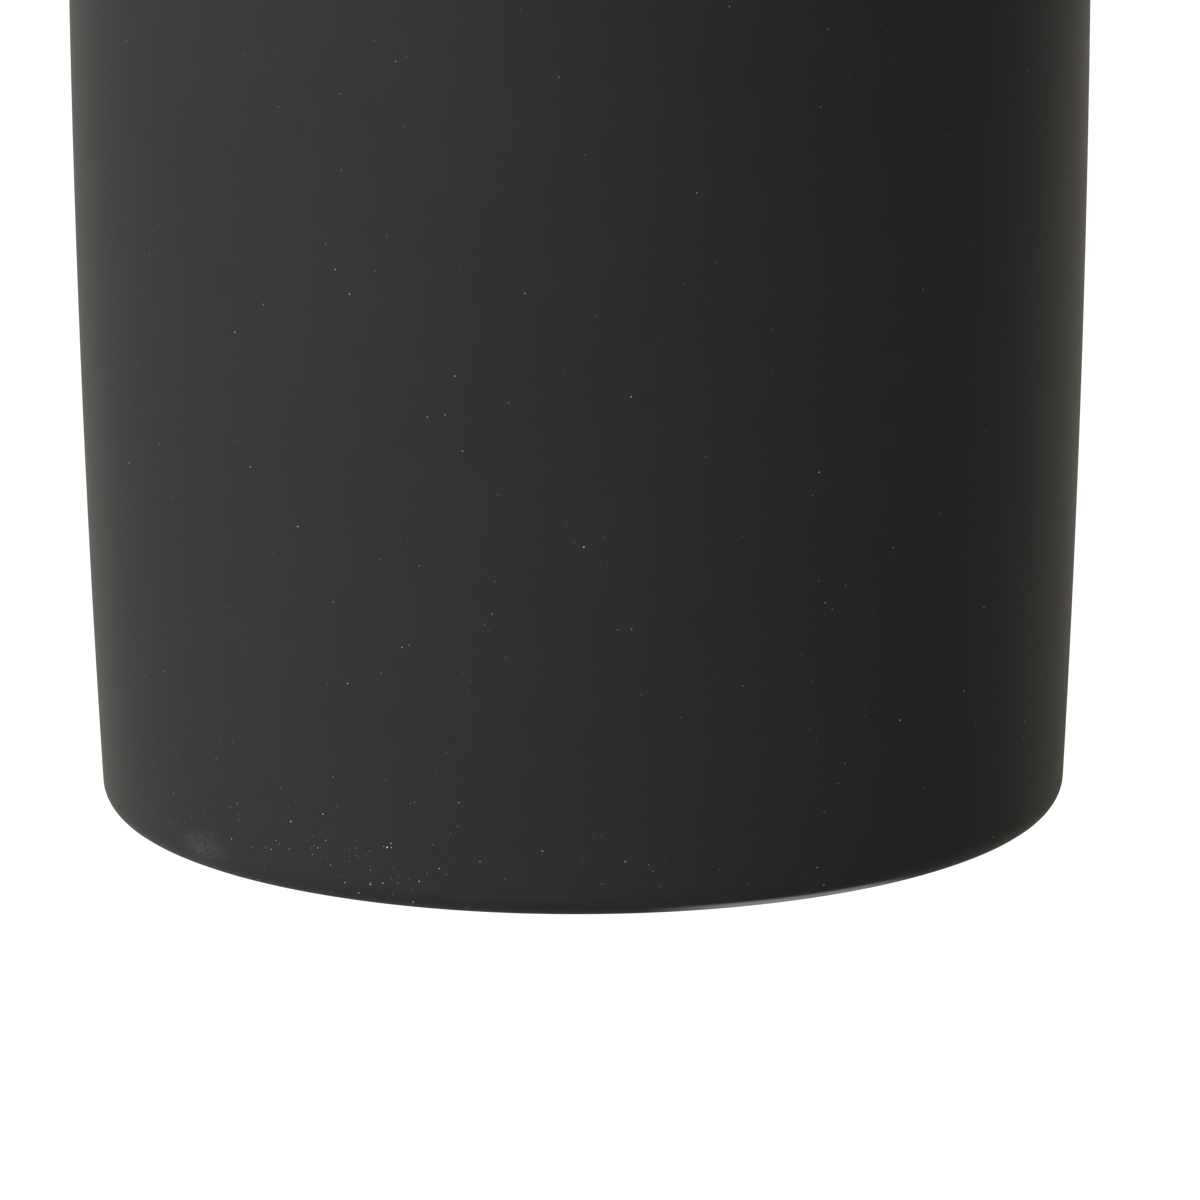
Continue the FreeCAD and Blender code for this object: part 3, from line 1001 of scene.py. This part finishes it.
@dataclass
class SealRing:
    """The silicone seal: a band in the plug's groove with a row of soft fins.

    Attributes:
        tip: Radius of the fins' tips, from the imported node.
        low: Height of the seal's lower face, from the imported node.
        high: Height of its upper face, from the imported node.
        inner: Radius of the flat inner face.
        band: Thickness of the band between the fins.
        fins: Number of fins.
        fin_pitch: Distance from fin to fin.
        fin_root: Thickness of a fin where it leaves the band.
        fin_tip: Thickness of a fin at its tip.
        fin_rise: How far a fin's tip stands above its root.
        band_fillet: Radius of the band's corners.
        root_fillet: Radius at a fin's root.
        tip_fillet: Radius at a fin's tip.
        arc_steps: Steps along each rounding.
        segments: Steps round the axis.
    """

    tip: float = field(default_factory=lambda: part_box("lid_seal_ring")[1].x)
    low: float = field(default_factory=lambda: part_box("lid_seal_ring")[0].z)
    high: float = field(default_factory=lambda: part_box("lid_seal_ring")[1].z)
    inner: float = 34.43 * MM
    band: float = 1.2 * MM
    fins: int = 3
    fin_pitch: float = 1.3 * MM
    fin_root: float = 0.75 * MM
    fin_tip: float = 0.35 * MM
    fin_rise: float = 0.3 * MM
    band_fillet: float = 0.15 * MM
    root_fillet: float = 0.08 * MM
    tip_fillet: float = 0.16 * MM
    arc_steps: int = 5
    segments: int = 320

    def outline(self) -> np.ndarray:
        """The closed half section, going down the finned face and up the flat one."""
        face = self.inner + self.band
        middle = (self.low + self.high) / 2.0
        corners = [(self.inner, self.high, self.band_fillet), (face, self.high, self.band_fillet)]
        for number in reversed(range(self.fins)):
            root = middle + (number - (self.fins - 1) / 2.0) * self.fin_pitch
            tip = root + self.fin_rise
            corners += [
                (face, root + self.fin_root / 2.0, self.root_fillet),
                (self.tip, tip + self.fin_tip / 2.0, self.tip_fillet),
                (self.tip, tip - self.fin_tip / 2.0, self.tip_fillet),
                (face, root - self.fin_root / 2.0, self.root_fillet),
            ]
        corners += [(face, self.low, self.band_fillet), (self.inner, self.low, self.band_fillet)]
        return rounded(corners, self.arc_steps, closed=True)

    def build(self) -> None:
        """Makes the seal."""
        ring = turned("seal_ring_soft", self.outline(), self.segments, closed=True)
        mount(ring, Body.SEAL, "lid_seal_ring", SoftSilicone().material())


# --------------------------------------------------------------------------------------- the studio


@dataclass
class Studio:
    """White paper, soft light and a long lens that looks slightly down at the jar's foot.

    Attributes:
        floor_size: Length of the paper's sides.
        camera_back: Distance of the camera from the jar's axis, along -Y.
        camera_up: Height of the camera.
        lens: Focal length in millimetres.
        sensor: Width of the camera's sensor in millimetres.
        pitch: How far the camera looks down, in radians.
        yaw: How far it is turned towards +X, in radians.
        roll: How far it leans, in radians.
        key: Brightness of the window light at its middle.
        key_turn_deg: Where the window is, in degrees from -Y towards -X.
        key_rise_deg: How high its middle is.
        key_spread: Power of the fall-off round the middle. A smaller one gives a wider window.
        fill: Brightness of the rest of the room.
        backdrop: Brightness of the room to the eye, which is plain white.
        daylight: Colour of the room's light.
    """

    floor_size: float = 6.0
    camera_back: float = 0.5397
    camera_up: float = 0.1421
    lens: float = 207.5
    sensor: float = 36.0
    pitch: float = 0.230
    yaw: float = 0.0026
    roll: float = -0.0036
    key: float = 6.0
    key_turn_deg: float = 57.7
    key_rise_deg: float = 16.0
    key_spread: float = 1.9
    fill: float = 0.065
    backdrop: float = 1.35
    daylight: Colour = (1.0, 0.94, 0.83)

    def floor(self) -> bpy.types.Object:
        """A square of paper in the plane of the foot."""
        half = self.floor_size / 2.0
        corners = np.array([(-1, -1, 0), (1, -1, 0), (1, 1, 0), (-1, 1, 0)], float) * half
        mesh = bpy.data.meshes.new("paper_floor")
        mesh.from_pydata(corners.tolist(), [], [(0, 1, 2, 3)])
        paper = bpy.data.objects.new("paper_floor", mesh)
        mesh.materials.append(PaperFloor().material())
        bpy.context.scene.collection.objects.link(paper)
        return paper

    def camera(self) -> bpy.types.Object:
        """The camera: forward from pitch and yaw, then turned about its own axis by roll."""
        forward = Vector((math.sin(self.yaw) * math.cos(self.pitch),
                          math.cos(self.yaw) * math.cos(self.pitch), -math.sin(self.pitch)))
        across = Vector((math.cos(self.yaw), -math.sin(self.yaw), 0.0))
        over = across.cross(forward)
        right = across * math.cos(self.roll) + over * math.sin(self.roll)
        up = over * math.cos(self.roll) - across * math.sin(self.roll)
        data = bpy.data.cameras.new("camera")
        data.lens, data.sensor_width = self.lens, self.sensor
        data.clip_start, data.clip_end = 0.01, 20.0
        eye = bpy.data.objects.new("camera", data)
        bpy.context.scene.collection.objects.link(eye)
        place = Matrix((right, up, -forward)).transposed().to_4x4()
        place.translation = (0.0, -self.camera_back, self.camera_up)
        eye.matrix_world = place
        bpy.context.scene.camera = eye
        return eye

    def world(self) -> None:
        """A white room with one wall of soft window light.

        The light from a direction d is fill + key * max(0, d . k) ^ spread, where k points at the window. The
        room itself is plain white to the eye.
        """
        world = bpy.data.worlds.new("white_room")
        bpy.context.scene.world = world
        paint = Paint(world, "Generated")
        turn, rise = math.radians(self.key_turn_deg), math.radians(self.key_rise_deg)
        window = (-math.sin(turn) * math.cos(rise), -math.cos(turn) * math.cos(rise), math.sin(rise))
        facing = paint.vector("DOT_PRODUCT", paint.place, window, "Value")
        light = self.fill + self.key * facing.maths("MAXIMUM", facing, 0.0) ** self.key_spread
        seen = paint.node("ShaderNodeLightPath", output="Is Camera Ray")
        level = paint.node("ShaderNodeMix", None, {"Factor": seen, 2: light, 3: self.backdrop})
        glow = paint.node("ShaderNodeBackground", None, {"Color": (*self.daylight, 1.0), "Strength": level})
        paint.connect("ShaderNodeOutputWorld", glow)

    def build(self) -> None:
        """Sets up the floor, the light and the camera."""
        self.floor()
        self.camera()
        self.world()
        bpy.context.scene.view_settings.view_transform = "Standard"


def main() -> None:
    """Builds every piece and the studio."""
    logging.basicConfig(level=logging.INFO, format="%(name)s: %(message)s")
    for assembly in (LacqueredJar(), BambooLid(), SealRing()):
        assembly.build()
    Studio().build()


if __name__ == "__main__":
    main()
